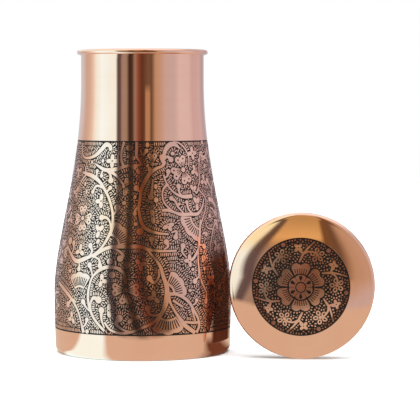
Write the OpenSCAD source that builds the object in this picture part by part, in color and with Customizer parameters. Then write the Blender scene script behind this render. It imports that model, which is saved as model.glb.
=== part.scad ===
// Spun copper water jug with an etched band, and its loose domed lid standing on edge beside it.
// The jug stands on Z = 0 with its axis on Z. The front faces -Y. Lengths are in millimetres.

/* [Jug] */
// Height from the foot to the top of the rim bead
jug_h = 210; // [190:1:240]
// Outside radius at the widest part of the belly
belly_r = 61.8; // [56:0.1:66]
// Height where the belly starts to draw in
belly_z = 44; // [36:1:52]
// Outside radius of the straight neck
neck_r = 42.65; // [38:0.05:46]
// Height where the neck becomes straight
neck_z = 189; // [170:1:194]
// How early the side sweeps in, where 1 is an even S and less is earlier
sweep = 0.8; // [0.7:0.05:1.2]
// Thickness of the spun sheet
sheet = 0.8; // [0.6:0.1:1.2]

/* [Foot and base] */
// Outside radius just above the rounded bottom corner
foot_r = 61; // [55:0.1:64]
// Outside radius of the bottom corner
corner_r = 4.5; // [3:0.1:7]
// Inside radius of the foot ring that the base disc lies on
ring_r = 49; // [44:0.5:52]
// Thickness of the base disc
base_t = 0.9; // [0.7:0.1:1.4]
// How far the middle of the base disc is pressed up
base_rise = 2; // [1:0.1:4]
// Leg of the solder fillet around the base disc
solder_leg = 0.9; // [0.5:0.1:1.2]

/* [Rim] */
// Radius of the wire inside the rolled rim
wire_r = 0.95; // [0.8:0.05:1.4]
// Gap between the wire and the sheet rolled over it
wire_gap = 0.05; // [0.03:0.01:0.1]
// How far round the wire the sheet is rolled, from the top of the neck
roll_angle = 285; // [240:5:290]

/* [Lid] */
// Outside radius of the lid
lid_r = 49.6; // [46.5:0.1:52]
// Radius of the sphere that the dome is part of
dome_ball = 128; // [90:1:200]
// Radius of the rounded shoulder
shoulder_r = 2.4; // [1.5:0.1:3]
// Thickness of the dome sheet
dome_t = 0.8; // [0.6:0.1:1]
// Thickness of the liner sheet
liner_t = 0.7; // [0.5:0.1:1]
// Radial clearance between the plug of the liner and the inside of the neck
plug_gap = 0.5; // [0.3:0.05:0.8]
// Depth of the plug below the flange
plug_h = 12; // [8:0.5:18]
// Radius of the plug's bottom corner
plug_corner = 2.5; // [1.5:0.1:4]
// Radius of the bend between the plug and the flange
flange_bend = 1.2; // [0.5:0.1:2]
// Radial clearance between the hem and the rim bead
hem_gap = 0.85; // [0.4:0.05:1.2]

/* [Where the lid stands] */
// Distance of the lid's centre to the right of the jug's axis
stand_x = 109.2; // [105:0.1:150]
// Distance of the lid's flange in front of the jug's axis
stand_y = -44; // [-80:1:-20]
// How far the lid's face is turned towards the jug's side, in degrees
stand_turn = 5.5; // [0:0.5:20]

/* [Hidden] */
$fn = 120;
seam = 0.1;                    // gap left between pieces that are folded round each other
side_steps = 44;               // straight lengths that make up the swept side
roll_step = 15;                // degrees between points on small rolled edges
neck_in = neck_r - sheet;      // inside radius of the neck
roll_r = wire_r + wire_gap + sheet;    // outside radius of the rolled rim's section
roll_x = neck_in + roll_r;     // centre of that section
roll_z = jug_h - roll_r;
plug_r = neck_in - plug_gap;   // outside radius of the liner's plug
hem_in = roll_x + roll_r + hem_gap;    // inside radius of the hem
step_out = ring_r - 1;         // where the pressed step of the base disc starts and ends
step_in = step_out - base_rise * 1.5;
disc_r = foot_r - corner_r - 1;        // outside radius of the base disc
shoulder_x = lid_r - shoulder_r;       // centre of the shoulder's curve
shoulder_z = liner_t + dome_t + seam;
dome_slope = asin(shoulder_x / (dome_ball - shoulder_r));    // where the dome runs into the shoulder
ball_z = shoulder_z - (dome_ball - shoulder_r) * cos(dome_slope);
flange_r = lid_r - dome_t - seam;      // outside radius of the liner's flange

// Points on an arc around [x, z], from angle a to angle b
function arc(x, z, r, a, b, steps) =
    [for (i = [0 : steps]) let (t = a + (b - a) * i / steps) [x + r * cos(t), z + r * sin(t)]];

// Outside radius below the belly, where t goes from 0 at the belly to 1 at the bottom corner
function foot_side(t) = belly_r - (belly_r - foot_r) * t * t;

// Outside radius above the belly, where t goes from 0 at the belly to 1 at the neck
function swept_side(t) = neck_r + (belly_r - neck_r) * (1 + cos(180 * pow(t, sweep))) / 2;

// Outside radius of the jug's side at height z, from the bottom corner to the bottom of the neck
function side_r(z) =
    z < belly_z
        ? foot_side((belly_z - z) / (belly_z - corner_r))
        : swept_side((z - belly_z) / (neck_z - belly_z));

// Points up the side, drawn in by inset from the outside
function side(inset) = [
    for (i = [0 : side_steps])
        let (z = corner_r + (neck_z - corner_r) * i / side_steps)
        [side_r(z) - inset, z]
];

// Points on the dome from the axis out and round the shoulder, lowered by depth
function dome(depth) = concat(
    arc(0, ball_z, dome_ball - depth, 90, 90 - dome_slope, 24),
    arc(shoulder_x, shoulder_z, shoulder_r - depth, 90 - dome_slope, 0, 6)
);

function reversed(points) = [for (i = [len(points) - 1 : -1 : 0]) points[i]];

module body_shell() {
    corner_x = foot_r - corner_r;
    roll_steps = roll_angle / roll_step;
    color("#c98161")
    rotate_extrude()
    polygon(concat(
        [[ring_r, 0]],
        arc(corner_x, corner_r, corner_r, -90, 0, 8),
        side(0),
        reversed(arc(roll_x, roll_z, roll_r - sheet, 180 - roll_angle, 180, roll_steps)),
        arc(roll_x, roll_z, roll_r, 180 - roll_angle, 180, roll_steps),
        reversed(side(sheet)),
        arc(corner_x, corner_r, corner_r - sheet, 0, -90, 8),
        [[ring_r, sheet]]
    ));
}

module rim_wire() {
    color("#b9714f")
    rotate_extrude()
    translate([roll_x, roll_z]) circle(r = wire_r, $fn = 32);
}

module base_disc() {
    color("#b97a5c")
    rotate_extrude()
    polygon([
        [0, sheet + base_rise], [step_in, sheet + base_rise], [step_out, sheet], [disc_r, sheet],
        [disc_r, sheet + base_t], [step_out, sheet + base_t],
        [step_in, sheet + base_t + base_rise], [0, sheet + base_t + base_rise]
    ]);
}

module base_solder() {
    color("#b9bcc0")
    rotate_extrude()
    polygon([[disc_r, sheet], [disc_r + solder_leg, sheet], [disc_r, sheet + base_t]]);
}

// Lid pieces are drawn closed, with the flange's underside on Z = 0, then stood on edge
module stand_on_edge() {
    translate([stand_x, stand_y, lid_r])
    rotate([90, 0, -stand_turn])
    children();
}

module lid_dome() {
    hem_z = -seam - dome_t;
    color("#d39a72")
    stand_on_edge()
    rotate_extrude()
    polygon(concat(
        dome(0),
        arc(lid_r - dome_t, hem_z + dome_t, dome_t, 0, -90, 4),
        [[hem_in, hem_z], [hem_in, -seam], [lid_r - dome_t, -seam]],
        reversed(dome(dome_t))
    ));
}

module lid_liner() {
    corner_x = plug_r - plug_corner;
    corner_z = plug_corner - plug_h;
    color("#c08465")
    stand_on_edge()
    rotate_extrude()
    polygon(concat(
        [[0, -plug_h]],
        arc(corner_x, corner_z, plug_corner, -90, 0, 6),
        arc(plug_r + flange_bend, -flange_bend, flange_bend, 180, 90, 5),
        [[flange_r, 0], [flange_r, liner_t]],
        arc(plug_r + flange_bend, -flange_bend, flange_bend + liner_t, 90, 180, 5),
        arc(corner_x, corner_z, plug_corner - liner_t, 0, -90, 6),
        [[0, liner_t - plug_h]]
    ));
}

body_shell();
rim_wire();
base_disc();
base_solder();
lid_dome();
lid_liner();
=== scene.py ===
import math

import bpy
import numpy as np
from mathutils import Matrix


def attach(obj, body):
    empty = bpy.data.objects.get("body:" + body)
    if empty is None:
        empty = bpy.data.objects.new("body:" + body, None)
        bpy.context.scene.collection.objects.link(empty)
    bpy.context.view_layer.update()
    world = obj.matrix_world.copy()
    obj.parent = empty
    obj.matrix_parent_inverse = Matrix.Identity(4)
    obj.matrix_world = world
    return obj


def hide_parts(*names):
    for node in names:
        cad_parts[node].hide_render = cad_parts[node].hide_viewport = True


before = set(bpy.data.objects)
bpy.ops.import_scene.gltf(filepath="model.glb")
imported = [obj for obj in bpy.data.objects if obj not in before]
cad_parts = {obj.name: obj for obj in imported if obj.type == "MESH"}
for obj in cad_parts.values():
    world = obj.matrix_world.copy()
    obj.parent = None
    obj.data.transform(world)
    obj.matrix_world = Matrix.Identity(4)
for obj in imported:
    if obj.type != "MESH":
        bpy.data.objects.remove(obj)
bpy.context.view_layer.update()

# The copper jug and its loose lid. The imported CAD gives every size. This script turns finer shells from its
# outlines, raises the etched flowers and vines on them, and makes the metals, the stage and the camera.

SCENE = bpy.context.scene
MM = 0.001
SHEET = 0.8 * MM           # thickness of the jug's copper
CORNER = 4.5 * MM          # radius of the corner round the foot
NECK = 189 * MM            # height where the straight neck starts
ROLL = 1.8 * MM            # outside radius of the rolled rim's section
ETCH = 0.18 * MM           # depth of the etched ground below the polished surface
WALL = ETCH + 0.1 * MM     # height of the raised metal's walls, so that they end below the ground
DOT = 0.03 * MM            # how far an etched dot lies above the raised metal
EDGE = 0.12 * MM           # how far in the edge of an etched field slopes
BAND = (17.1, 147.6)       # bottom and top of the etched band on the jug, in mm above the foot
PANEL = 180.0              # degrees round the jug before the design repeats
MEDALLION = 33.2           # radius of the etched medallion on the lid, in mm
LID_TURN = 5.5             # degrees that the lid's face is turned towards the jug
LID_HEM = 0.9 * MM         # how far the hem reaches below the flange's underside
STEP = 0.05 * MM           # the length over which a slope is measured
RNG = np.random.default_rng(7)


# ---- Turned shells ----

class Lathe:
    """A place for turned work: an origin, and the directions that angles turn from and towards."""

    def __init__(self, origin, start, towards):
        self.origin, self.start, self.towards = (np.array(x, float) for x in (origin, start, towards))
        self.axis = np.cross(self.start, self.towards)

    def place(self, radius, angle, height):
        radius, angle, height = np.broadcast_arrays(radius, angle, height)
        out = np.cos(angle)[..., None] * self.start + np.sin(angle)[..., None] * self.towards
        return self.origin + radius[..., None] * out + height[..., None] * self.axis

    def outline(self, node):
        """Radius and height of every vertex of a CAD node."""
        points = np.array([v.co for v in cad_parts[node].data.vertices]) - self.origin
        height = points @ self.axis
        return np.linalg.norm(points - np.outer(height, self.axis), axis=1), height


def curve_through(xs, ys):
    """A smooth curve through points, as a function."""
    slopes = np.gradient(ys, xs)

    def at(x):
        x = np.clip(x, xs[0], xs[-1])
        i = np.clip(np.searchsorted(xs, x) - 1, 0, len(xs) - 2)
        h = xs[i + 1] - xs[i]
        t = (x - xs[i]) / h
        return (
            ys[i] * (1 + 2 * t) * (1 - t) ** 2 + ys[i + 1] * t * t * (3 - 2 * t)
            + h * (slopes[i] * t * (1 - t) ** 2 - slopes[i + 1] * t * t * (1 - t))
        )

    return at


def side_curve(lathe, node, low, high):
    """Outside radius of a node as a function of height."""
    radius, height = lathe.outline(node)
    levels = np.round(height, 5)
    keys = [k for k in np.unique(levels) if low - 1e-5 <= k <= high + 1e-5]
    return curve_through(np.array(keys), np.array([radius[levels == k].max() for k in keys]))


def dome_points(lathe, node):
    """The outside of a dome, from its top to its widest point."""
    radius, height = lathe.outline(node)
    hull = []
    for point in sorted(set(zip(np.round(radius, 6), np.round(height, 6)))):
        while len(hull) > 1 and np.cross(np.subtract(hull[-1], hull[-2]), np.subtract(point, hull[-1])) >= 0:
            hull.pop()
        hull.append(point)
    top = max(range(len(hull)), key=lambda i: hull[i][1])
    return np.array(hull[top:])


def arc(x, z, r, a, b, steps):
    angles = np.radians(np.linspace(a, b, steps + 1))
    return [(x + r * math.cos(t), z + r * math.sin(t)) for t in angles]


def plain_mesh(name, verts, faces, materials):
    mesh = bpy.data.meshes.new(name)
    mesh.from_pydata([tuple(v) for v in verts], [], faces)
    for material in materials:
        mesh.materials.append(material)
    thing = bpy.data.objects.new(name, mesh)
    SCENE.collection.objects.link(thing)
    return thing


def solid(name, verts, faces, metals, slots=None):
    """A smooth piece of the object. slots gives each face's metal, by its place in metals."""
    piece = plain_mesh(name, verts, faces, metals)
    if slots is not None:
        piece.data.polygons.foreach_set("material_index", slots)
    piece.data.polygons.foreach_set("use_smooth", [True] * len(faces))
    piece.data.update()
    piece.data.set_sharp_from_angle(angle=math.radians(35))
    return piece


def turn(name, lathe, runs, metals, segments=288):
    """A turned piece. Each run is its points, as radius and height, and its metal, and follows on from the
    last. The runs go round the section with the metal on their left."""
    points, slots = [runs[0][0][0]], []
    for run, slot in runs:
        run = [p for p in run if np.hypot(*np.subtract(p, points[-1])) > 1e-7]
        points += run
        slots += [slot] * len(run)
    if np.allclose(points[0], points[-1], atol=1e-7):
        points.pop()
    else:
        slots.append(slots[-1])
    verts, rings = [], []
    angles = np.linspace(0, 2 * math.pi, segments, endpoint=False)
    for r, z in points:
        if r < 1e-7:
            rings.append([len(verts)] * segments)
            verts.append(lathe.place(0.0, 0.0, z))
        else:
            rings.append(range(len(verts), len(verts) + segments))
            verts += list(lathe.place(r, angles, z))
    faces, face_slots = [], []
    for i, slot in enumerate(slots):
        low, high = rings[i], rings[(i + 1) % len(rings)]
        for j in range(segments):
            k = (j + 1) % segments
            corners = list(dict.fromkeys([low[j], low[k], high[k], high[j]]))
            if len(corners) > 2:
                faces.append(corners)
                face_slots.append(slot)
    return solid(name, verts, faces, metals, face_slots)


# ---- Shapes of raised metal, in mm round the origin: points, and cells that join them anticlockwise ----

def circle(count):
    """Points evenly round a circle of radius 1."""
    t = np.linspace(0, 2 * math.pi, count, endpoint=False)
    return np.c_[np.cos(t), np.sin(t)]


def polar(radius, degrees):
    return radius * math.cos(math.radians(degrees)), radius * math.sin(math.radians(degrees))


def patch(outline):
    return outline, [list(range(len(outline)))]


def hub(outline):
    """An outline filled from its middle."""
    n = len(outline)
    return np.vstack([outline, [(0, 0)]]), [[i, (i + 1) % n, n] for i in range(n)]


def disc(radius, count=16):
    return hub(radius * circle(count))


def oval(length, width, count=16):
    return hub(circle(count) * (length / 2, width / 2))


def ring(inner, outer, lobes, depth=0.1, count=72):
    """A ring with a lobed outside."""
    t = np.linspace(0, 2 * math.pi, count, endpoint=False)
    edge = outer * (1 - depth + depth * np.abs(np.cos(lobes * (t - math.pi / 6) / 2)) ** 0.6)
    rows = [np.full(count, inner), (inner + edge) / 2, edge]
    points = np.vstack([r[:, None] * circle(count) for r in rows])
    cells = [[k + i, k + count + i, k + count + (i + 1) % count, k + (i + 1) % count]
             for k in (0, count) for i in range(count)]
    return points, cells


def loop(length, width, stroke, count=20):
    """An oval line."""
    points = np.vstack([circle(count) * (length / 2 - k, width / 2 - k) for k in (stroke, 0)])
    return points, [[i, count + i, count + (i + 1) % count, (i + 1) % count] for i in range(count)]


def drop(length, width, count=16):
    """A drop with its tip at the origin and its round end along +x."""
    cos, sin = circle(count).T
    x = length * (0.5 - 0.5 * cos)
    return patch(np.c_[x, -width / 2 * sin * (0.3 + 0.95 * x / length)])


def comb(inner, neck, outer, spread, bars, lobes, band=0.0, bulge=0.35, gap=0.5):
    """A petal or a fan that opens along +x, between plus and minus spread degrees. It has bars from inner to
    neck with etched lines between them, a lobed head from neck to outer, and a band inside the bars if it is
    wanted."""
    half = math.radians(spread)
    columns = []
    for i in range(bars):
        a, b = (half * (2 * (i + e) / bars - 1) for e in (0, 1))
        for f in (0, 1 / 3, 2 / 3, 1):
            inset = gap / 2 * (1 - 2 * f)
            inset = 0 if (i == 0 and f < 0.5) or (i == bars - 1 and f > 0.5) else inset
            columns.append((a + (b - a) * f, inset))
    radii = [inner - band] * (band > 0) + list(np.linspace(inner, neck, 4)) + [(neck + outer) / 2, outer]
    first_bar, last_bar = int(band > 0), 3 + int(band > 0)
    points = []
    for k, r in enumerate(radii):
        for a, inset in columns:
            wave = abs(math.sin(math.pi * lobes * (a + half) / (2 * half))) ** 0.6
            reach = r - (r - neck) * bulge * (1 - wave) if r > neck else r
            turned = a + inset / r
            points.append((reach * math.cos(turned), reach * math.sin(turned)))
    n = len(columns)
    cells = []
    for k in range(len(radii) - 1):
        for i in range(n - 1):
            if i % 4 == 3 and first_bar <= k < last_bar:
                continue
            cells.append([k * n + i, (k + 1) * n + i, (k + 1) * n + i + 1, k * n + i + 1])
    return np.array(points), cells


def grain(length, width):
    """A short stroke along x, a little thinner at one end."""
    a, b, h = length / 2, length / 2 - width * 0.4, width / 2
    return patch(np.array([(-a, -0.35 * h), (-b, -0.85 * h), (b, -h), (a, -0.45 * h),
                           (a, 0.45 * h), (b, h), (-b, 0.85 * h), (-a, 0.35 * h)]))


def smooth_line(points, step=0.9):
    """A smooth line through points, with a point about every step."""
    p = np.array(points, float)
    p = np.vstack([2 * p[0] - p[1], p, 2 * p[-1] - p[-2]])
    line = []
    for a, b, c, d in zip(p, p[1:], p[2:], p[3:]):
        count = max(2, int(np.linalg.norm(c - b) / step))
        t = (np.arange(count) / count)[:, None]
        line.append(0.5 * (2 * b + (c - a) * t + (2 * a - 5 * b + 4 * c - d) * t ** 2
                           + (3 * b - a - 3 * c + d) * t ** 3))
    return np.vstack(line + [p[-2:-1]])


class Etching:
    """The raised metal on an etched field, u round it and v up it. A unit of v is 1 mm, and a unit of u is
    scale(v) mm. surface(u, v, lift) gives points on the field and their outward normals."""

    def __init__(self, width, low, high, scale, surface, wraps, pixel=0.25):
        self.width, self.low, self.pixel, self.wraps = width, low, pixel, wraps
        self.scale, self.surface = scale, surface
        self.us = (np.arange(round(width / pixel)) + 0.5) * pixel - width / 2
        self.vs = (np.arange(round((high - low) / pixel)) + 0.5) * pixel + low
        self.stretch = scale(self.vs)
        self.full = np.zeros((len(self.vs), len(self.us)), bool)
        self.raised, self.inlaid = [], []

    def window(self, u, v, reach):
        """The pixels within reach of a point, and their offsets from it in mm."""
        col = int(math.floor((u + self.width / 2) / self.pixel))
        row = int(math.floor((v - self.low) / self.pixel))
        n = int(reach / self.pixel) + 1
        m = int(n / min(1.0, float(self.scale(v)))) + 1
        rows = np.arange(max(0, row - n), min(len(self.vs), row + n + 1))
        cols = np.arange(col - m, col + m + 1)
        if not self.wraps:
            cols = cols[(cols >= 0) & (cols < len(self.us))]
        x = ((cols + 0.5) * self.pixel - self.width / 2 - u)[None, :] * self.stretch[rows][:, None]
        y = (self.vs[rows] - v)[:, None] + 0 * x
        return np.ix_(rows, cols % len(self.us)), x, y

    def mark(self, corners):
        """Takes the pixels inside a polygon."""
        low, high = corners.min(0), corners.max(0)
        u, v = (low + high) / 2
        reach = max((high[0] - low[0]) * float(self.scale(v)), high[1] - low[1]) / 2 + self.pixel
        where, x, y = self.window(u, v, reach)
        stretch = self.scale(y + v)
        inside = np.zeros(x.shape, bool)
        for (au, av), (bu, bv) in zip(corners, np.roll(corners, -1, axis=0)):
            if av != bv:
                ax, bx, ay, by = (au - u) * stretch, (bu - u) * stretch, av - v, bv - v
                inside ^= ((ay > y) != (by > y)) & (x < (bx - ax) * (y - ay) / (by - ay) + ax)
        self.full[where] |= inside

    def placed(self, points, u, v, angle):
        """Points in mm round the origin, turned by an angle and put at a place on the field."""
        x, y = points.T
        y, x = v + x * math.sin(angle) + y * math.cos(angle), x * math.cos(angle) - y * math.sin(angle)
        return np.c_[u + x / self.scale(y), y]

    def put(self, shape, u, v, turned=0.0, inlaid=False):
        """Adds a shape at a point, turned by degrees."""
        points, cells = shape
        self.keep(self.placed(points, u, v, math.radians(turned)), cells, inlaid)

    def keep(self, points, cells, inlaid=False):
        if inlaid:
            self.inlaid.append((points, cells))
            return
        self.raised.append((points, cells))
        for cell in cells:
            self.mark(points[cell])

    def vine(self, points, *widths):
        """A stem through points, with its widths in mm from one end to the other."""
        line = smooth_line(points)
        half = np.interp(np.linspace(0, 1, len(line)), np.linspace(0, 1, len(widths)), widths) / 2
        s = self.scale(line[:, 1])
        tangent = np.gradient(line, axis=0) * np.c_[s, np.ones_like(s)]
        tangent /= np.linalg.norm(tangent, axis=1)[:, None]
        normal = np.c_[-tangent[:, 1] / s, tangent[:, 0]] * half[:, None]
        n = len(line)
        self.keep(np.vstack([line - normal, line + normal]),
                  [[i, i + 1, n + i + 1, n + i] for i in range(n - 1)])
        return line[-1]

    def nearest(self, reach):
        """For every pixel, the offset in mm to the nearest taken one, and its length."""
        height, width = self.full.shape
        rows, cols = np.mgrid[:height, :width]
        stretch = self.stretch[:, None]
        best = np.where(self.full, 0.0, 1e12)
        to_row, to_col = np.zeros_like(rows), np.zeros_like(cols)
        step = reach
        while step:
            for dr, dc in [(r, c) for r in (-step, 0, step) for c in (-step, 0, step) if r or c]:
                r = np.roll(to_row, (-dr, -dc), (0, 1)) + dr
                c = np.roll(to_col, (-dr, -dc), (0, 1)) + dc
                d = (c * stretch) ** 2.0 + r ** 2.0 + (np.roll(best, (-dr, -dc), (0, 1)) > 1e11) * 1e12
                valid = (rows + dr >= 0) & (rows + dr < height)
                if not self.wraps:
                    valid &= (cols + dc >= 0) & (cols + dc < width)
                closer = valid & (d < best)
                best[closer], to_row[closer], to_col[closer] = d[closer], r[closer], c[closer]
            step //= 2
        return to_col * stretch * self.pixel, to_row * self.pixel, np.sqrt(best) * self.pixel

    def stroke(self, row, col, angle, length, width, gap):
        """Adds a grain at a pixel if there is room for it."""
        u, v = self.us[col], self.vs[row]
        where, x, y = self.window(u, v, length / 2 + gap)
        along = x * math.cos(angle) + y * math.sin(angle)
        across = y * math.cos(angle) - x * math.sin(angle)
        off = np.hypot(np.maximum(np.abs(along) - (length - width) / 2, 0), across)
        if (self.full[where] & (off < width / 2 + gap)).any():
            return
        self.full[where] |= off < width / 2
        points, cells = grain(length, width)
        self.raised.append((self.placed(points, u, v, angle), cells))

    def fill(self, length, width, gap, rows):
        """Fills the ground with grains. They go in rows square to the drawing, then smaller ones go in what
        is left."""
        du, dv, distance = self.nearest(32)
        angle = np.arctan2(dv, du)
        for k in range(rows):
            want = gap + length / 2 + k * (length + gap * 0.8)
            band = np.argwhere(np.abs(distance - want) < self.pixel * 0.7)
            for row, col in band[np.lexsort((band[:, 0], band[:, 1]))]:
                self.stroke(row, col, angle[row, col] + RNG.normal(0, 0.1),
                            length * RNG.uniform(0.88, 1.05), width * RNG.uniform(0.88, 1.1), gap)
        for size in (0.7, 0.45):
            distance = self.nearest(8)[2]
            for row, col in np.argwhere(distance > gap + width * size * 0.5):
                if not self.full[row, col]:
                    self.stroke(row, col, angle[row, col] + RNG.normal(0, 0.3),
                                length * size, width * size * 1.2, gap)

    def build(self, name, metal, shapes, copies, lift, height):
        """A piece made of shapes that stand up from the ground."""
        verts, faces, normals = [], [], []
        base = 0
        for copy in range(copies):
            for k, (points, cells) in enumerate(shapes):
                u = points[:, 0] + copy * self.width
                top, out = self.surface(u, points[:, 1], lift + 0.003 * (k % 6) * MM)
                foot = self.surface(u, points[:, 1], lift - height)[0]
                verts += [top, foot]
                edges = {(c[i - 1], c[i]) for c in cells for i in range(len(c))}
                for cell in cells:
                    faces.append([base + i for i in cell])
                    normals += [out[i] for i in cell]
                for a, b in sorted(e for e in edges if e[::-1] not in edges):
                    n = base + len(points)
                    faces.append([n + a, n + b, base + b, base + a])
                    normals += [(0, 0, 0)] * 4
                base += 2 * len(points)
        piece = solid(name, np.vstack(verts), faces, [metal])
        piece.data.normals_split_custom_set([tuple(x) for x in normals])
        return piece


# ---- The drawing on the jug, in degrees to the right of the front and mm above the foot ----

STEMS = [  # widths in mm from one end to the other, then points
    ((1.2, 1.8, 2.4, 2.9, 2.4, 1.9, 1.7, 2.4, 2.4, 1.7, 1.3), [(21, 134), (19, 131), (13, 129), (8, 126),
     (4, 121), (1, 115), (0, 109), (-1, 103), (0, 97), (2, 91), (6, 88), (12, 86), (20, 85)]),
    ((1.6, 2.4, 3.2, 3.4, 2.4, 0.8), [(18, 133), (20, 138), (22, 142), (26, 145), (31, 145), (36, 142)]),
    ((0.8, 1.1, 1.2, 1.2, 0.9), [(29, 147), (35, 146), (41, 142), (44, 136), (43, 130)]),
    ((1.2, 1.2, 1.3, 1.8, 2.7, 2.6), [(19, 125), (20, 121), (23, 116), (28, 112), (34, 110), (43, 110)]),
    ((2.2, 1.1, 1.2, 1.3, 2.6, 2.2, 2.2, 1.6, 1.2), [(22, 119), (18, 115), (17, 110), (19, 105), (25, 100),
     (31, 98), (38, 98), (46, 98), (52, 102), (56, 108)]),
    ((1.8, 2.2, 1.4), [(16, 101), (21, 101), (27, 99)]),
    ((1.0, 1.2, 1.2, 1.1, 1.2, 1.0, 1.2, 1.4), [(60, 140), (57, 133), (55, 127), (54, 120), (51, 115),
     (58, 108), (56, 101), (51, 95), (47, 90)]),
    ((1.6, 1.3, 1.0), [(51, 115), (48, 112), (46, 114)]),
    ((1.2, 1.5, 1.6, 2.0, 3.0, 3.2, 2.6), [(-64, 146), (-61, 139), (-56, 136), (-48, 136), (-41, 138),
     (-35, 142), (-31, 145), (-27, 144), (-26, 141)]),
    ((1.0, 2.2, 2.8, 2.6, 2.0, 2.2, 1.2), [(-41, 132), (-36, 130), (-30, 128), (-24, 128), (-18, 129),
     (-10, 131), (-4, 131), (2, 132)]),
    ((1.8, 1.7, 1.4, 1.8), [(-14, 131), (-16, 135), (-16, 141), (-14, 147)]),
    ((1.2, 1.4, 1.2), [(-18, 130), (-19, 136), (-18, 141)]),
    ((2.2, 1.7, 1.3), [(-25, 127), (-19, 124), (-15, 120), (-13, 118)]),
    ((1.2, 2.6, 3.0, 2.2, 2.0, 1.7, 1.7, 2.1, 2.2, 1.6, 1.8, 3.0, 3.0, 2.0, 1.6), [(-56, 126), (-50, 125),
     (-44, 124), (-38, 122), (-33, 119), (-29, 115), (-25, 110), (-22, 104), (-20, 97), (-20, 90),
     (-22, 84), (-26, 77), (-31, 72), (-37, 69), (-47, 66), (-54, 70), (-61, 76)]),
    ((1.6, 1.0), [(-51, 125), (-53, 130)]),
    ((1.2, 1.2, 1.0), [(-51, 124), (-55, 121), (-58, 116), (-59, 111)]),
    ((2.0, 2.0, 1.5, 1.0), [(-3, 147), (-3, 141), (-3, 137), (2, 131)]),
    ((1.4, 2.4, 2.4, 2.7, 2.8, 2.4, 1.8, 1.5, 1.3), [(-33, 69), (-28, 73), (-22, 76), (-15, 77), (-7, 77),
     (0, 77), (6, 75), (14, 74), (25, 74)]),
    ((1.2, 1.6, 2.2, 2.7, 3.4, 3.6, 2.4, 2.2, 1.8, 1.8, 1.6, 1.4), [(4, 76), (9, 70), (13, 64), (15, 57),
     (17, 50), (17, 44), (16, 38), (13, 31), (8, 26), (2, 23), (-5, 20), (-12, 19), (-19, 21), (-23, 26)]),
    ((2.6, 2.0, 2.2, 2.0, 1.8, 1.6), [(17, 45), (23, 45), (29, 42), (33, 38), (36, 33), (39, 28),
     (40, 24)]),
    ((1.3, 1.2), [(34, 35), (36, 29), (37, 26)]),
    ((1.6, 1.8), [(29, 26), (35, 25), (40, 25)]),
    ((2.0, 2.2), [(40, 26), (40, 22), (38, 18)]),
    ((2.6, 1.6, 1.7, 2.7, 3.0, 2.8), [(18, 45), (19, 40), (22, 34), (26, 28), (30, 23), (37, 18)]),
    ((1.8, 1.2), [(21, 41), (25, 38), (28, 36)]),
    ((1.8, 2.4, 2.6, 1.6, 1.6, 2.0, 2.2, 2.0, 1.8, 1.8), [(-12, 62), (-17, 63), (-22, 63), (-27, 61),
     (-32, 56), (-34, 50), (-35, 43), (-34, 36), (-31, 29), (-27, 24), (-23, 20)]),
    ((2.0, 2.2, 2.4), [(-14, 62), (-10, 59), (-9, 52)]),
    ((2.0, 3.0, 2.8, 2.0, 1.6, 1.6, 2.8), [(-68, 50), (-59, 46), (-51, 41), (-46, 36), (-43, 31), (-41, 25),
     (-39, 18)]),
    ((1.2, 1.8, 2.3, 2.0, 1.3, 1.3, 2.4), [(48, 94), (46, 87), (44, 80), (42, 73), (41, 66), (41, 60),
     (41, 56)]),
    ((2.0, 1.4, 1.8), [(41, 56), (43, 51), (46, 45), (46, 41)]),
    ((1.8, 2.0, 1.6), [(35, 67), (38, 69), (42, 74)]),
    ((1.0, 1.3, 1.3, 1.2, 1.0), [(72, 93), (63, 88), (57, 80), (54, 74), (56, 68), (61, 62), (67, 59)]),
    ((1.0, 1.2), [(53, 92), (55, 88), (61, 87)]),
    ((1.6, 2.4, 2.4, 2.0, 1.8, 2.2, 2.4, 1.8, 1.2), [(92, 17), (97, 26), (98, 36), (93, 46), (85, 54),
     (79, 63), (78, 73), (83, 82), (90, 88)]),
    ((1.6, 2.6, 2.4, 1.8, 1.6, 1.2), [(83, 82), (92, 92), (97, 102), (95, 112), (88, 119), (83, 127),
     (84, 136), (90, 143)]),
    ((1.8, 2.2, 1.4), [(98, 36), (105, 42), (113, 43)]),
    ((1.8, 2.0, 1.2), [(97, 102), (104, 96), (108, 88), (106, 80)]),
    ((1.8, 2.0, 1.2), [(88, 119), (78, 118), (71, 112), (69, 104)]),
    ((1.6, 1.8, 1.2), [(84, 136), (94, 134), (102, 128), (104, 120)]),
    ((1.8, 2.0, 1.4), [(81, 60), (73, 57), (67, 50), (67, 42)]),
]

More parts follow.
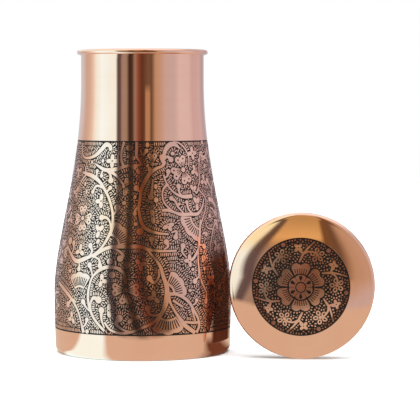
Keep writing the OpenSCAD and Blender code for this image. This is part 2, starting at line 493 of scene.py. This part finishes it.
COMMAS = [  # head radius in mm, then points from the stem to the head
    (1.9, [(18, 131), (20, 135), (23, 137), (26, 135)]), (1.8, [(33, 111), (31, 113), (31, 117)]),
    (1.6, [(33, 99), (29, 103), (27, 107), (24, 109)]), (1.4, [(42, 98), (38, 101), (37, 106)]),
    (1.5, [(0, 142), (2, 138), (5, 141)]), (2.0, [(1, 114), (-1, 114), (-3, 116)]),
    (1.9, [(10, 122), (9, 115), (8, 110)]), (1.7, [(20, 123), (22, 124), (23, 127)]),
    (1.5, [(1, 105), (-3, 102), (-4, 99)]), (1.6, [(18, 134), (17, 136), (18, 137)]),
    (2.0, [(-28, 127), (-25, 125), (-24, 121)]), (1.5, [(-28, 112), (-26, 114), (-24, 116)]),
    (1.5, [(-26, 113), (-31, 116), (-37, 117), (-40, 113)]),
    (2.0, [(-21, 88), (-22, 93), (-25, 96), (-29, 96)]), (2.3, [(-21, 97), (-18, 100), (-17, 103)]),
    (1.4, [(-32, 128), (-33, 126), (-33, 124)]), (1.4, [(-38, 122), (-38, 125), (-38, 127)]),
    (1.9, [(-37, 69), (-34, 73), (-36, 77)]), (2.2, [(-20, 76), (-14, 74), (-11, 71), (-13, 69)]),
    (1.8, [(-33, 70), (-28, 68), (-27, 64)]), (1.9, [(-32, 56), (-33, 60), (-35, 64)]),
    (1.8, [(-45, 66), (-44, 64), (-44, 61)]), (2.5, [(-32, 31), (-33, 37), (-31, 42), (-27, 41)]),
    (2.2, [(-23, 22), (-25, 28), (-25, 34)]), (2.0, [(-34, 33), (-37, 36), (-39, 39)]),
    (2.2, [(-45, 38), (-49, 40), (-54, 36)]), (1.6, [(-39, 22), (-37, 24), (-36, 27)]),
    (2.5, [(-3, 20), (-10, 21), (-15, 25), (-13, 29)]), (2.1, [(14, 33), (10, 31), (6, 32), (5, 36)]),
    (2.1, [(12, 62), (12, 57), (9, 53), (6, 56)]), (2.2, [(-9, 62), (-8, 64), (-8, 65)]),
    (1.9, [(32, 69), (29, 73), (30, 77)]), (1.9, [(16, 75), (19, 77), (18, 80)]),
    (1.8, [(22, 86), (26, 87), (25, 83)]), (2.4, [(3, 90), (1, 89), (0, 87)]),
    (1.9, [(8, 78), (8, 80), (8, 82)]), (1.9, [(41, 56), (39, 55), (37, 53)]),
    (1.5, [(35, 37), (37, 38), (38, 40)]), (2.1, [(43, 66), (45, 66), (46, 68)]),
    (1.9, [(44, 77), (46, 77), (48, 76)]), (2.0, [(46, 44), (46, 42), (46, 39)]),
    (1.8, [(48, 84), (50, 85), (52, 84)]), (2.0, [(97, 26), (101, 24), (104, 26)]),
    (2.0, [(93, 46), (88, 44), (86, 40)]), (2.0, [(79, 63), (84, 64), (87, 67)]),
    (2.0, [(83, 82), (79, 84), (76, 82)]), (2.0, [(96, 100), (91, 100), (87, 102)]),
    (1.9, [(93, 114), (97, 117), (98, 121)]), (1.9, [(83, 127), (79, 128), (76, 126)]),
    (1.9, [(84, 136), (79, 138), (76, 141)]), (2.0, [(67, 50), (63, 50), (60, 47)]),
    (1.9, [(104, 96), (109, 98), (112, 101)]), (1.9, [(73, 113), (69, 116), (66, 120)]),
    (1.8, [(-54, 70), (-52, 74), (-53, 78)]),
]

OVALS = [  # length and width in mm, how far turned, degrees round, mm up
    (4.9, 4.7, 0, -9, 143), (3.4, 2.6, 90, 6, 145), (3.4, 3.2, 30, -6, 136), (2.6, 2.0, 60, 6, 131),
    (4.6, 3.2, 115, 8, 128), (3.6, 3.2, 90, 12, 108), (3.8, 2.0, 90, -47, 113), (3.0, 2.2, 90, -50, 118),
    (4.4, 4.4, 0, -20, 67), (3.8, 1.2, 100, -16, 66), (4.8, 4.6, 0, -18, 58), (2.8, 2.8, 0, -53, 59),
    (5.4, 5.2, 0, -58, 79), (3.2, 3.0, 0, 46, 61), (3.4, 3.0, 0, 55, 66), (3.8, 3.0, 90, 50, 30),
    (3.8, 3.2, 90, 48, 21), (3.2, 3.0, 0, -36, 19), (3.6, 2.6, 60, -30, 80), (3.0, 2.0, 20, 30, 105),
    (3.4, 2.6, 100, 52, 45), (3.0, 2.6, 0, 58, 30), (3.6, 3.2, 0, 60, 96), (3.6, 2.8, 60, 65, 130),
    (3.4, 2.8, 90, 70, 80), (3.4, 3.0, 0, 108, 56), (3.4, 3.0, 0, 82, 24), (3.2, 2.8, 0, 104, 66),
    (3.6, 2.8, 40, 96, 80), (3.4, 2.8, 0, 66, 146), (3.2, 2.6, 0, 28, 139), (2.6, 2.0, 90, -45, 133),
    (2.8, 2.2, 90, -33, 134), (2.6, 2.4, 0, -10, 137), (3.0, 2.2, 70, -4, 110), (3.2, 2.8, 0, -12, 106),
    (3.4, 2.4, 90, 12, 117), (3.2, 2.6, 0, -3, 92), (2.8, 2.2, 0, 33, 47), (2.6, 2.2, 0, 36, 61),
]

BLOSSOMS = [  # lobe length in mm, degrees round, mm up, then which way each lobe points
    (4.4, 49, 139, (95, 185, 5, 275)), (4.2, 50, 127, (110, 200, 300)), (4.6, 47, 105, (120, 55, 260)),
    (4.0, 45, 114, (120, 40)), (4.6, -31, 107, (90, 185, 275)), (4.0, -3, 129, (160, 300)),
    (4.6, 9, 97, (95, 275)), (4.2, 20, 91, (210, 300, 10)), (4.3, 0, 65, (125, 285, 15)),
    (4.7, 9, 43, (95, 185, 315)), (4.6, -20, 34, (80, 280)), (4.6, -4, 29, (110, 220, 20)),
    (4.6, -45, 73, (85, 200, 330)), (4.2, 34, 67, (180, 85, 275)), (4.4, -50, 27, (90, 200, 310)),
    (4.6, -30, 87, (125, 50, 255)), (4.4, -25, 54, (90, 350, 250)), (4.4, -24, 134, (90, 180, 0, 270)),
    (4.6, 51, 53, (40, 130, 220, 310)), (4.4, 62, 75, (100, 220, 340)), (4.4, 60, 120, (90, 200, 320)),
    (4.4, 71, 136, (60, 180, 300)), (4.6, 104, 110, (90, 210, 330)), (4.6, 109, 34, (0, 120, 240)),
    (4.4, 76, 34, (60, 180, 300)), (4.6, 116, 94, (90, 210, 330)), (4.4, 98, 144, (30, 150, 270)),
    (4.4, 60, 38, (30, 150, 270)), (4.4, -62, 112, (60, 180, 300)), (4.2, 85, 108, (60, 180, 300)),
    (4.4, 117, 126, (30, 150, 270)),
]

FLOWERS = [  # petal length in mm, degrees round, mm up, then which way each petal points
    (9.8, 37, 128, (103, 200, 286)), (9.8, -9, 48, (178, 270, 2)), (8.8, -47, 95, (98, 188, 278, 358)),
    (7.6, 10, 132, (90,)), (6.2, -13, 117, (50, 200, 300)), (8.8, 70, 69, (45, 135, 225, 315)),
    (8.8, 112, 71, (0, 90, 180, 270)), (8.4, 74, 92, (20, 110, 200, 290)), (8.8, 91, 127, (0, 75, 285)),
    (8.0, 57, 134, (30,)),
]

FANS = [  # degrees round, mm up, direction, half angle, inside and outside radius in mm
    (-22, 77, 44, 36, 8.6, 17.0), (48, 96, 218, 40, 9.4, 17.4), (-42, 42, 94, 37, 8.0, 17.0),
    (15, 45, 33, 38, 8.2, 16.8), (18, 37, 270, 37, 10.2, 19.4), (98, 36, 150, 34, 7.6, 15.6),
    (97, 102, 210, 34, 8.0, 16.0), (63, 96, 60, 34, 6.0, 13.0),
]


def blossom(field, size, u, v, turns):
    """A small flower of oval lobes round an etched dot."""
    stretch = float(field.scale(v))
    field.put(disc(0.3 * size, 12), u, v)
    for turned in turns:
        du, dv = polar(0.56 * size, turned)
        field.put(oval(size, 0.68 * size), u + du / stretch, v + dv, turned)
    field.put(disc(0.12 * size, 10), u, v, inlaid=True)


def petal(field, u, v, turned, length, spread=33):
    """A double petal with fine lines at its root and an etched dot in each lobe."""
    field.put(comb(0.22 * length, 0.56 * length, length, spread, 4, 2, gap=0.055 * length), u, v, turned)
    for side in (-0.5, 0.5):
        du, dv = polar(0.76 * length, turned + side * spread)
        field.put(disc(0.065 * length, 10), u + du / float(field.scale(v)), v + dv, inlaid=True)


def jug_drawing(field):
    for widths, points in STEMS:
        field.vine(points, *widths)
    for head, points in COMMAS:
        u, v = field.vine(points, 1.0, 1.5, 1.3 * head)
        field.put(disc(head), u, v)
    for length, u, v, turns in FLOWERS:
        field.put(disc(0.17 * length), u, v)
        for turned in turns:
            petal(field, u, v, turned, length)
    for u, v, turned, spread, inner, outer in FANS:
        field.put(comb(inner, outer - 3.2, outer, spread, 10, 3, band=1.4, gap=0.75), u, v, turned)
    for length, width, turned, u, v in OVALS:
        field.put(oval(length, width), u, v, turned)
    for size, u, v, turns in BLOSSOMS:
        blossom(field, size, u, v, turns)


# ---- The drawing on the lid, in mm round its centre ----

def lid_drawing(field, r):
    """A flower of six double petals, and six twigs round it that each fork to a blossom and a looped flower.
    r is the radius of the medallion."""
    field.put(disc(0.088 * r, 28), 0, 0)
    field.put(ring(0.112 * r, 0.25 * r, 6), 0, 0)
    for k in range(6):
        a = 30 + 60 * k
        field.put(drop(0.11 * r, 0.08 * r), *polar(0.125 * r, a), a, inlaid=True)
        field.put(grain(0.11 * r, 0.3), *polar(0.19 * r, a + 30), a + 30, inlaid=True)
        field.put(comb(0.272 * r, 0.385 * r, 0.495 * r, 26.5, 7, 2, bulge=0.65, gap=0.55), 0, 0, a)
        twig = a + 62
        fork = polar(0.68 * r, twig - 6)
        field.vine([polar(0.51 * r, twig + 2), polar(0.6 * r, twig - 3), fork], 1.1, 1.5, 1.7)
        field.vine([fork, polar(0.74 * r, twig), polar(0.79 * r, twig + 2)], 1.5, 1.2)
        field.vine([fork, polar(0.82 * r, twig - 13), polar(0.965 * r, twig - 19)], 1.5, 1.1, 1.1)
        flower = polar(0.73 * r, twig - 29)
        bend = [polar(0.735 * r, twig - 14), polar(0.755 * r, twig - 22)]
        field.vine([fork, *bend, flower], 1.6, 1.3, 1.1, 1.0)
        blossom(field, 0.1 * r, *polar(0.8 * r, twig + 2), [twig + 2 + turn for turn in (45, 135, 225, 315)])
        field.put(disc(0.036 * r, 12), *flower)
        for way in range(twig + 1, twig + 361, 72):
            du, dv = polar(0.097 * r, way)
            field.put(loop(0.112 * r, 0.092 * r, 0.95), flower[0] + du, flower[1] + dv, way)
        field.put(disc(0.045 * r, 16), *polar(0.925 * r, twig - 39))
    field.full |= np.hypot(*np.meshgrid(field.us, field.vs)) > r - 0.1


# ---- Metals ----

GLOSSY = 3       # the Light Path node's output for rays from reflections


class Shader:
    """Adds nodes to a material's or a world's tree. Sockets are set by name to a value or another socket."""

    def __init__(self, owner):
        owner.use_nodes = True
        self.tree = owner.node_tree
        self.tree.nodes.clear()

    def add(self, kind, sockets=(), out=0, **settings):
        node = self.tree.nodes.new("ShaderNode" + kind)
        for key, value in settings.items():
            setattr(node, key, value)
        for key, value in dict(sockets).items():
            if isinstance(value, bpy.types.NodeSocket):
                self.tree.links.new(value, node.inputs[key])
            else:
                node.inputs[key].default_value = value
        return node.outputs[out] if node.outputs else node

    def math(self, operation, *values):
        return self.add("Math", enumerate(values), operation=operation)

    def vector(self, operation, *values, out=0):
        return self.add("VectorMath", enumerate(values), out, operation=operation)

    def noise(self, where, scale, detail=3.0, rough=0.5):
        return self.add("TexNoise", {"Vector": where, "Scale": scale, "Detail": detail, "Roughness": rough})

    def ramp(self, value, stops):
        output = self.add("ValToRGB", {"Fac": value})
        ramp = output.node.color_ramp
        while len(ramp.elements) < len(stops):
            ramp.elements.new(0.5)
        for element, (position, colour) in zip(ramp.elements, stops):
            element.position = position
            element.color = (*colour, 1.0)
        return output

    def blend(self, factor, a, b):
        """A mix of two colours, each a socket or a fixed colour."""
        node = self.tree.nodes.new("ShaderNodeMix")
        node.data_type = "RGBA"
        for index, value in ((0, factor), (6, a), (7, b)):
            if isinstance(value, bpy.types.NodeSocket):
                self.tree.links.new(value, node.inputs[index])
            else:
                node.inputs[index].default_value = value if index == 0 else (*value, 1.0)
        return node.outputs[2]

    def span(self, value, low, high, to_low=0.0, to_high=1.0):
        """A value that goes from to_low at low to to_high at high, and stays there past either end."""
        return self.add("MapRange", {"Value": value, "From Min": low, "From Max": high,
                                     "To Min": to_low, "To Max": to_high})

    def beyond(self, angle, start, full):
        """0 to 1 as an angle in radians goes from one number of degrees to another, which may be less."""
        low, high = sorted((start, full))
        ends = (0.0, 1.0) if start < full else (1.0, 0.0)
        return self.span(angle, math.radians(low), math.radians(high), *ends)

    def within(self, angle, middle, full, none):
        """1 where an angle in radians is within full degrees of the middle, down to 0 at none degrees."""
        away = self.math("ABSOLUTE", self.math("SUBTRACT", angle, math.radians(middle)))
        return self.beyond(away, none, full)

    def times(self, *factors):
        product, *rest = factors
        for factor in rest:
            product = self.math("MULTIPLY", product, factor)
        return product


def spun_metal(name, lathe, light, dark, rough, lines=0.12, grime=0.5):
    """Metal spun on a lathe: fine rings round its axis, a slow change of tone, and faint handling marks.
    lines is how strong the rings are, and grime how strong the marks are."""
    material = bpy.data.materials.new(name)
    s = Shader(material)
    place = s.add("TexCoord", out=3)
    offset = s.vector("SUBTRACT", place, tuple(lathe.origin))
    height = s.vector("DOT_PRODUCT", offset, tuple(lathe.axis), out=1)
    along = s.add("VectorMath", {0: tuple(lathe.axis), "Scale": height}, operation="SCALE")
    radius = s.vector("LENGTH", s.vector("SUBTRACT", offset, along), out=1)
    rings = s.add("CombineXYZ", {0: radius, 2: height})
    drift = s.add("VectorMath", {0: offset, "Scale": 0.02}, operation="SCALE")
    rings = s.vector("ADD", rings, drift)
    fine = s.noise(rings, 2600.0, 2.0)
    coarse = s.noise(rings, 260.0, 2.0)
    cloud = s.noise(offset, 28.0, 4.0, 0.6)
    marks = s.noise(offset, 420.0, 5.0, 0.7)
    tone = s.math("ADD", s.times(cloud, 0.75), s.times(coarse, 0.25))
    colour = s.blend(s.span(tone, 0.35, 0.65), light, dark)
    spots = s.span(marks, 0.66, 0.8, 0.0, grime)
    colour = s.blend(spots, colour, tuple(0.35 * c for c in dark))
    roughness = s.math("ADD", s.span(cloud, 0.3, 0.7, 0.85 * rough, 1.2 * rough),
                       s.span(fine, 0.3, 0.7, -0.2 * rough, 0.3 * rough))
    roughness = s.math("ADD", roughness, s.times(spots, 0.3))
    bump = s.add("Bump", {"Strength": lines, "Distance": 0.00002,
                          "Height": s.math("ADD", fine, s.times(coarse, 2.0))})
    shader = s.add("BsdfPrincipled", {"Base Color": colour, "Roughness": roughness, "Metallic": 1.0,
                                      "Normal": bump})
    s.add("OutputMaterial", {"Surface": shader})
    return material


def patina(name):
    """The etched and blackened ground between the raised metal."""
    material = bpy.data.materials.new(name)
    s = Shader(material)
    place = s.add("TexCoord", out=3)
    cloud = s.noise(place, 45.0, 4.0, 0.6)
    pits = s.noise(place, 2400.0, 3.0, 0.6)
    colour = s.ramp(s.math("ADD", s.times(cloud, 0.7), s.times(pits, 0.3)),
                    [(0.3, (0.008, 0.006, 0.005)), (0.55, (0.018, 0.012, 0.01)),
                     (0.75, (0.05, 0.026, 0.018))])
    roughness = s.span(pits, 0.3, 0.7, 0.42, 0.62)
    bump = s.add("Bump", {"Strength": 0.5, "Distance": 0.00006, "Height": pits})
    shader = s.add("BsdfPrincipled", {"Base Color": colour, "Roughness": roughness, "Metallic": 0.55,
                                      "Normal": bump})
    s.add("OutputMaterial", {"Surface": shader})
    return material


def floor_paint(name):
    """Pale paint. In the copper the floor shows a painted reflection instead: it glows as a warm sheet round
    the object, with a painted white wedge at the left and a dark patch of painted shadow behind the lid, and
    it shows the studio's strips further out."""
    material = bpy.data.materials.new(name)
    s = Shader(material)
    place = s.add("TexCoord", out=3)
    x, y = (s.add("SeparateXYZ", {0: place}, k) for k in range(2))
    colour = s.ramp(s.noise(place, 3.0, 2.0), [(0.3, (0.86, 0.86, 0.86)), (0.7, (0.88, 0.88, 0.88))])
    paint = s.add("BsdfPrincipled", {"Base Color": colour, "Roughness": 0.75})

    def turned_from(px, py):
        """How far round to the right a place on the floor lies, seen from a point."""
        return s.math("ARCTAN2", s.math("SUBTRACT", x, px), s.math("SUBTRACT", py, y))

    # Painted reflection colours, seen only in the copper: the warm sheet, a painted white wedge, and dark for
    # the painted shadow behind the lid.
    warm, white, dark = (0.73, 0.64, 0.53), (1.02, 1.5, 1.65), (0.17, 0.07, 0.04)
    sheet = s.blend(s.within(turned_from(0.038, -0.003), -62.5, 11, 15.5), warm, white)
    # Painted shadow: a dark patch behind the lid, seen only in reflections.
    painted_shadow_x = s.times(s.span(x, 0.022, 0.045), s.span(x, 0.1, 0.14, 1.0, 0.0))
    painted_shadow_y = s.times(s.span(y, -0.046, -0.034), s.span(y, 0.0, 0.04, 1.0, 0.0))
    sheet = s.blend(s.times(painted_shadow_x, painted_shadow_y), sheet, dark)
    far = s.math("MAXIMUM", s.span(y, -0.165, -0.135, 1.0, 0.0), s.span(x, -0.24, -0.16, 1.0, 0.0))
    far = s.math("MAXIMUM", far, s.span(s.vector("LENGTH", place, out=1), 0.25, 0.5))
    sheet = s.blend(far, sheet, studio_strips(s, turned_from(0.05, -0.03)))
    # Reflections see the floor glow with this painted reflection; all other rays see the pale paint.
    painted_reflection = s.add("Emission", {"Color": sheet})
    shown = s.add("MixShader", {0: s.add("LightPath", out=GLOSSY), 1: paint, 2: painted_reflection})
    s.add("OutputMaterial", {"Surface": shown})
    return material


# ---- Pieces ----

def with_heights(curve, low, high, steps):
    return [(float(curve(z)), float(z)) for z in np.linspace(low, high, steps + 1)]


def make_jug(jug, side, polished, ground, inside):
    """The shell from its foot ring up the side, over the rolled rim and down the inside."""
    low, high = BAND[0] * MM, BAND[1] * MM
    radius, height = jug.outline("body_shell")
    foot_in = radius[height < 1e-5].min()
    foot_x = float(side(CORNER)) - CORNER
    roll_x, roll_z = float(side(NECK)) - SHEET + ROLL, height.max() - ROLL
    etched = [(r - ETCH, z) for r, z in with_heights(side, low + EDGE, high - EDGE, 150)]
    inner = [(r - SHEET, z) for r, z in with_heights(side, NECK, CORNER, 90)]
    return turn("jug_shell", jug, [
        ([(foot_in, 0.0), (foot_x, 0.0)] + arc(foot_x, CORNER, CORNER, -90, 0, 12), 0),
        (with_heights(side, CORNER, low, 10), 0),
        (etched, 1),
        (with_heights(side, high, NECK, 50), 0),
        (arc(roll_x, roll_z, ROLL - SHEET, 180, -105, 24), 0),
        (arc(roll_x, roll_z, ROLL, -105, 180, 40), 0),
        (inner, 2),
        (arc(foot_x, CORNER, CORNER - SHEET, 0, -90, 10) + [(foot_in, SHEET), (foot_in, 0.0)], 2),
    ], [polished, ground, inside])


def make_dome(lid, outline, dome_height, polished, ground):
    """The domed top of the lid with its etched medallion, its shoulder, its hem and its underside."""
    rim = MEDALLION * MM
    etched = [(r, float(dome_height(r)) - ETCH) for r in np.linspace(0, rim - EDGE, 46)]
    radius, height = lid.outline("lid_dome")
    hem = height.min()
    hem_in = radius[height < hem + 0.1 * MM].min()
    length = np.r_[0, np.cumsum(np.hypot(*np.diff(outline, axis=0).T))]
    along = np.linspace(0, length[-1], 400)
    r, z = (curve_through(length, column)(along) for column in outline.T)
    outer = [(float(a), float(b)) for a, b in zip(r, z) if a > rim]
    tangent = np.c_[np.gradient(r), np.gradient(z)]
    tangent /= np.linalg.norm(tangent, axis=1)[:, None]
    under = np.c_[r + tangent[:, 1] * SHEET, z - tangent[:, 0] * SHEET]
    under = [(max(0.0, float(a)), float(b)) for a, b in under[::-5]]
    under[-1] = (0.0, under[-1][1])
    wide = float(r[-1]) - SHEET
    return turn("lid_dome_shell", lid, [
        (etched, 1),
        ([(rim, float(dome_height(rim)))] + outer, 0),
        (arc(wide, hem + SHEET, SHEET, 0, -90, 8), 0),
        ([(hem_in, hem), (hem_in, hem + SHEET), (wide, hem + SHEET)], 0),
        (under, 0),
    ], [polished, ground])


def jug_surface(jug, side):
    """The jug's side, from degrees round it and mm up it."""
    def surface(u, v, lift):
        z = v * MM
        slope = (side(z + STEP) - side(z - STEP)) / (2 * STEP)
        lean = 1 / np.sqrt(1 + slope ** 2)
        angle = np.radians(u)
        return (jug.place(side(z) + lift * lean, angle, z - lift * slope * lean),
                jug.place(lean, angle, -slope * lean))
    return surface


def lid_surface(lid, dome_height):
    """The lid's top, from mm across it and mm up it."""
    def surface(u, v, lift):
        r, angle = np.hypot(u, v) * MM, np.arctan2(v, u)
        rise = dome_height(r + STEP) - dome_height(np.maximum(r - STEP, 0))
        slope = rise / (STEP + np.minimum(r, STEP))
        lean = 1 / np.sqrt(1 + slope ** 2)
        return (lid.place(r - lift * slope * lean, angle, dome_height(r) + lift * lean),
                lid.place(-slope * lean, angle, lean) - lid.origin)
    return surface


def lid_lathe():
    """The lid's lathe, with its origin in the middle of the flange's underside."""
    turned = math.radians(LID_TURN)
    across, up = np.array((math.cos(turned), -math.sin(turned), 0)), np.array((0, 0, 1.0))
    out = np.cross(across, up)
    points = np.array([v.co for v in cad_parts["lid_dome"].data.vertices])
    middle = [(a.min() + a.max()) / 2 for a in (points @ across, points @ up)]
    flange = (points @ out).min() + LID_HEM
    return Lathe(middle[0] * across + middle[1] * up + flange * out, across, up)


def make_pieces():
    jug = Lathe((0, 0, 0), (0, -1, 0), (1, 0, 0))
    lid = lid_lathe()

    polished = spun_metal("jug_polished_copper", jug, (0.95, 0.60, 0.46), (0.92, 0.56, 0.42),
                          rough=0.018, lines=0.006, grime=0.25)
    satin = spun_metal("jug_inside_copper", jug, (0.86, 0.48, 0.34), (0.70, 0.34, 0.22), rough=0.3, lines=0.2)
    relief = spun_metal("raised_copper", jug, (0.94, 0.61, 0.48), (0.86, 0.50, 0.38),
                        rough=0.08, lines=0.03, grime=0.6)
    lid_polished = spun_metal("lid_polished_copper", lid, (0.95, 0.60, 0.45), (0.92, 0.56, 0.41),
                              rough=0.06, lines=0.01, grime=0.25)
    lid_relief = spun_metal("lid_raised_copper", lid, (0.94, 0.62, 0.48), (0.86, 0.51, 0.38),
                            rough=0.22, lines=0.03, grime=0.6)
    lid_inside = spun_metal("lid_liner_copper", lid, (0.90, 0.54, 0.40), (0.78, 0.42, 0.29),
                            rough=0.26, lines=0.25)
    wire = spun_metal("rim_wire_copper", jug, (0.80, 0.42, 0.29), (0.62, 0.30, 0.19), rough=0.35)
    disc_metal = spun_metal("base_disc_copper", jug, (0.86, 0.48, 0.34), (0.68, 0.33, 0.22),
                            rough=0.32, lines=0.25)
    solder = spun_metal("base_solder_metal", jug, (0.62, 0.62, 0.60), (0.40, 0.39, 0.37),
                        rough=0.42, lines=0.2)
    ground = patina("etched_ground")

    side = side_curve(jug, "body_shell", CORNER, NECK)
    dome = dome_points(lid, "lid_dome")
    cap = dome[:20]  # the points before the shoulder
    dome_height = curve_through(cap[:, 0], cap[:, 1])

    shell = make_jug(jug, side, polished, ground, satin)
    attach(shell, "jug")
    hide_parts("body_shell")

    top = make_dome(lid, dome, dome_height, lid_polished, ground)
    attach(top, "lid")
    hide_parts("lid_dome")

    band = Etching(PANEL, *BAND, lambda v: np.radians(1) * side(v * MM) / MM, jug_surface(jug, side), True)
    band.full[:2] = band.full[-2:] = True
    jug_drawing(band)
    band.fill(2.4, 0.85, 0.45, 4)
    raised = band.build("jug_etching", relief, band.raised, 2, 0.0, WALL)
    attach(raised, "jug")
    dots = band.build("jug_etched_dots", ground, band.inlaid, 2, DOT, 2 * DOT)
    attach(dots, "jug")

    medal = Etching(2 * MEDALLION, -MEDALLION, MEDALLION, lambda v: np.ones_like(np.asarray(v, float)),
                    lid_surface(lid, dome_height), False, 0.2)
    lid_drawing(medal, MEDALLION)
    medal.fill(1.45, 1.0, 0.72, 5)
    raised = medal.build("lid_etching", lid_relief, medal.raised, 1, 0.0, WALL)
    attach(raised, "lid")
    dots = medal.build("lid_etched_dots", ground, medal.inlaid, 1, DOT, 2 * DOT)
    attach(dots, "lid")

    for node, metal in (("rim_wire", wire), ("base_disc", disc_metal), ("base_solder", solder),
                        ("lid_liner", lid_inside)):
        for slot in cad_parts[node].material_slots:
            slot.material = metal


# ---- Stage, light and camera ----

STUDIO = [  # degrees to the right of the camera, and the light that comes from there
    (-180, (0.66, 0.68, 0.74)), (-141, (0.69, 0.75, 0.83)), (-126, (0.63, 0.59, 0.54)),
    (-114, (0.71, 0.65, 0.58)), (-104, (0.86, 0.84, 0.8)), (-95, (0.97, 1.3, 1.3)),
    (-80, (1.02, 1.56, 1.85)), (-60, (1.0, 1.45, 1.6)), (-49, (1.0, 1.4, 1.5)), (-45, (0.14, 0.12, 0.13)),
    (-40, (0.13, 0.11, 0.12)), (-36, (0.4, 0.34, 0.3)), (-28, (0.38, 0.32, 0.26)),
    (-23, (0.05, 0.03, 0.02)), (-17, (0.08, 0.05, 0.035)), (-12, (0.38, 0.28, 0.22)),
    (-6, (0.27, 0.1, 0.055)), (1, (0.12, 0.05, 0.03)), (13, (0.2, 0.13, 0.08)), (19, (0.16, 0.1, 0.06)),
    (26, (0.55, 0.41, 0.28)), (36, (0.6, 0.48, 0.4)), (45, (0.63, 0.59, 0.61)), (64, (0.63, 0.62, 0.69)),
    (75, (0.76, 0.75, 0.83)), (98, (0.74, 0.73, 0.8)), (108, (0.655, 0.585, 0.66)),
    (133, (0.66, 0.61, 0.7)), (150, (0.5, 0.46, 0.52)), (180, (0.66, 0.68, 0.74)),
]


LEAN = 0.44                # how much nearer the front the strips stand at LEAN_HEIGHT
LEAN_HEIGHT = 28.0         # in degrees above the horizon
LEAN_POWER = 2.6           # how sharply the lean sets in


def studio_strips(s, turned):
    """The colour of the strips at an angle to the right of the camera, in radians."""
    return s.ramp(s.span(turned, -math.pi, math.pi), [((a + 180) / 360, c) for a, c in STUDIO])


def studio_world():
    """Soft strips and flags round the horizon, a gold reflector above the camera and a white ceiling. The
    strips lean in towards the front as they rise. The camera itself sees plain white."""
    world = bpy.data.worlds.new("studio")
    SCENE.world = world
    s = Shader(world)
    x, y, z = (s.add("SeparateXYZ", {0: s.add("TexCoord")}, k) for k in range(3))
    rise = s.math("ARCSINE", z)
    height = s.span(rise, 0.0, math.radians(90), 0.0, 90 / LEAN_HEIGHT)
    lean = s.math("ADD", s.times(s.math("POWER", height, LEAN_POWER), LEAN), 1.0)
    turned = s.times(s.math("ARCTAN2", x, s.times(y, -1.0)), lean)
    strips = studio_strips(s, turned)

    upper_left = s.times(s.beyond(turned, 20, 12), s.beyond(rise, 13, 23))
    strips = s.blend(upper_left, strips, s.vector("MULTIPLY", strips, (1.05, 0.86, 0.58)))
    back_left = s.times(s.beyond(turned, -95, -105), s.beyond(rise, 7, 11))
    strips = s.blend(back_left, strips, (0.96, 1.15, 1.2))
    streak = s.times(s.within(turned, 11.5, 3, 6), s.beyond(rise, 1.2, 3.2), s.beyond(rise, 18, 13))
    strips = s.blend(streak, strips, (0.5, 0.33, 0.19))

    gold = s.blend(s.beyond(rise, 26, 40), (0.82, 0.58, 0.24), (0.5, 0.35, 0.15))
    light = s.blend(s.times(s.within(turned, -14.5, 20.5, 24.5), s.beyond(rise, 19, 26)), strips, gold)
    ceiling = s.blend(s.add("LightPath", out=GLOSSY), (2.5, 2.5, 2.5), (1.2, 1.2, 1.2))
    light = s.blend(s.beyond(rise, 42, 58), light, ceiling)
    light = s.blend(s.add("LightPath"), light, (1.0, 1.0, 1.0))
    s.add("OutputWorld", {"Surface": s.add("Background", {"Color": light, "Strength": 1.0})})


def make_floor():
    half = 3.0
    corners = [(-half, -half, 0), (half, -half, 0), (half, half, 0), (-half, half, 0)]
    floor = plain_mesh("floor", corners, [(0, 1, 2, 3)], [floor_paint("floor_paint")])


def dark_reflection_paint(name, left, right, low, high):
    """A painted dark reflection: a glowing dark brown that fades out at both sides, given in degrees, and
    from low up to high.
    """
    material = bpy.data.materials.new(name)
    s = Shader(material)
    place = s.add("TexCoord", out=3)
    x, y, z = (s.add("SeparateXYZ", {0: place}, k) for k in range(3))
    # Painted shade: the dark brown that the jug's right side shows as a reflection.
    colour = s.ramp(s.noise(place, 40.0), [(0.3, (0.075, 0.026, 0.014)), (0.7, (0.13, 0.05, 0.028))])
    turned = s.math("ARCTAN2", x, s.times(y, -1.0))
    there = s.times(s.beyond(turned, left, left + 5), s.beyond(turned, right, right - 12),
                    s.span(z, low, high, 1.0, 0.0))
    s.add("OutputMaterial", {"Surface": s.add("MixShader", {
        0: there, 1: s.add("BsdfTransparent"), 2: s.add("Emission", {"Color": colour})})})
    return material


def make_reflection_card():
    """A low dark card, curved round the jug's right side, that puts a painted dark reflection on the jug
    there. Only reflections see it.
    """
    reach, left, right, count = 0.1, 73, 126, 27
    levels = (0.001, 0.05, 0.099)
    angles = np.radians(np.linspace(left, right, count))
    verts = [(reach * math.sin(a), -reach * math.cos(a), z) for z in levels for a in angles]
    faces = [(k + i, k + i + 1, k + i + 1 + count, k + i + count)
             for k in (0, count) for i in range(count - 1)]
    reflection_card = plain_mesh("reflection_card", verts, faces, [dark_reflection_paint("dark_reflection_paint", left, right, 0.07, 0.097)])
    for rays in ("camera", "diffuse", "transmission", "volume_scatter", "shadow"):
        setattr(reflection_card, "visible_" + rays, False)


def make_light():
    """A big soft box overhead. It lights the floor but doesn't show in the metal."""
    light = bpy.data.lights.new("softbox", "AREA")
    light.shape = "DISK"
    light.size = 1.6
    light.energy = 28
    box = bpy.data.objects.new("softbox", light)
    box.location = (0.1, -0.3, 1.6)
    box.visible_glossy = False
    SCENE.collection.objects.link(box)


def make_camera():
    camera = bpy.data.objects.new("camera", bpy.data.cameras.new("camera"))
    SCENE.collection.objects.link(camera)
    camera.location = (0.047, -1.40, 0.176)
    camera.rotation_euler = (math.radians(90 - 3.17), 0, 0)
    camera.data.lens = 172.0
    camera.data.sensor_width = 36
    camera.data.clip_end = 20
    SCENE.camera = camera


make_camera()
studio_world()
make_floor()
make_reflection_card()
make_light()
make_pieces()
SCENE.view_settings.view_transform = "Standard"
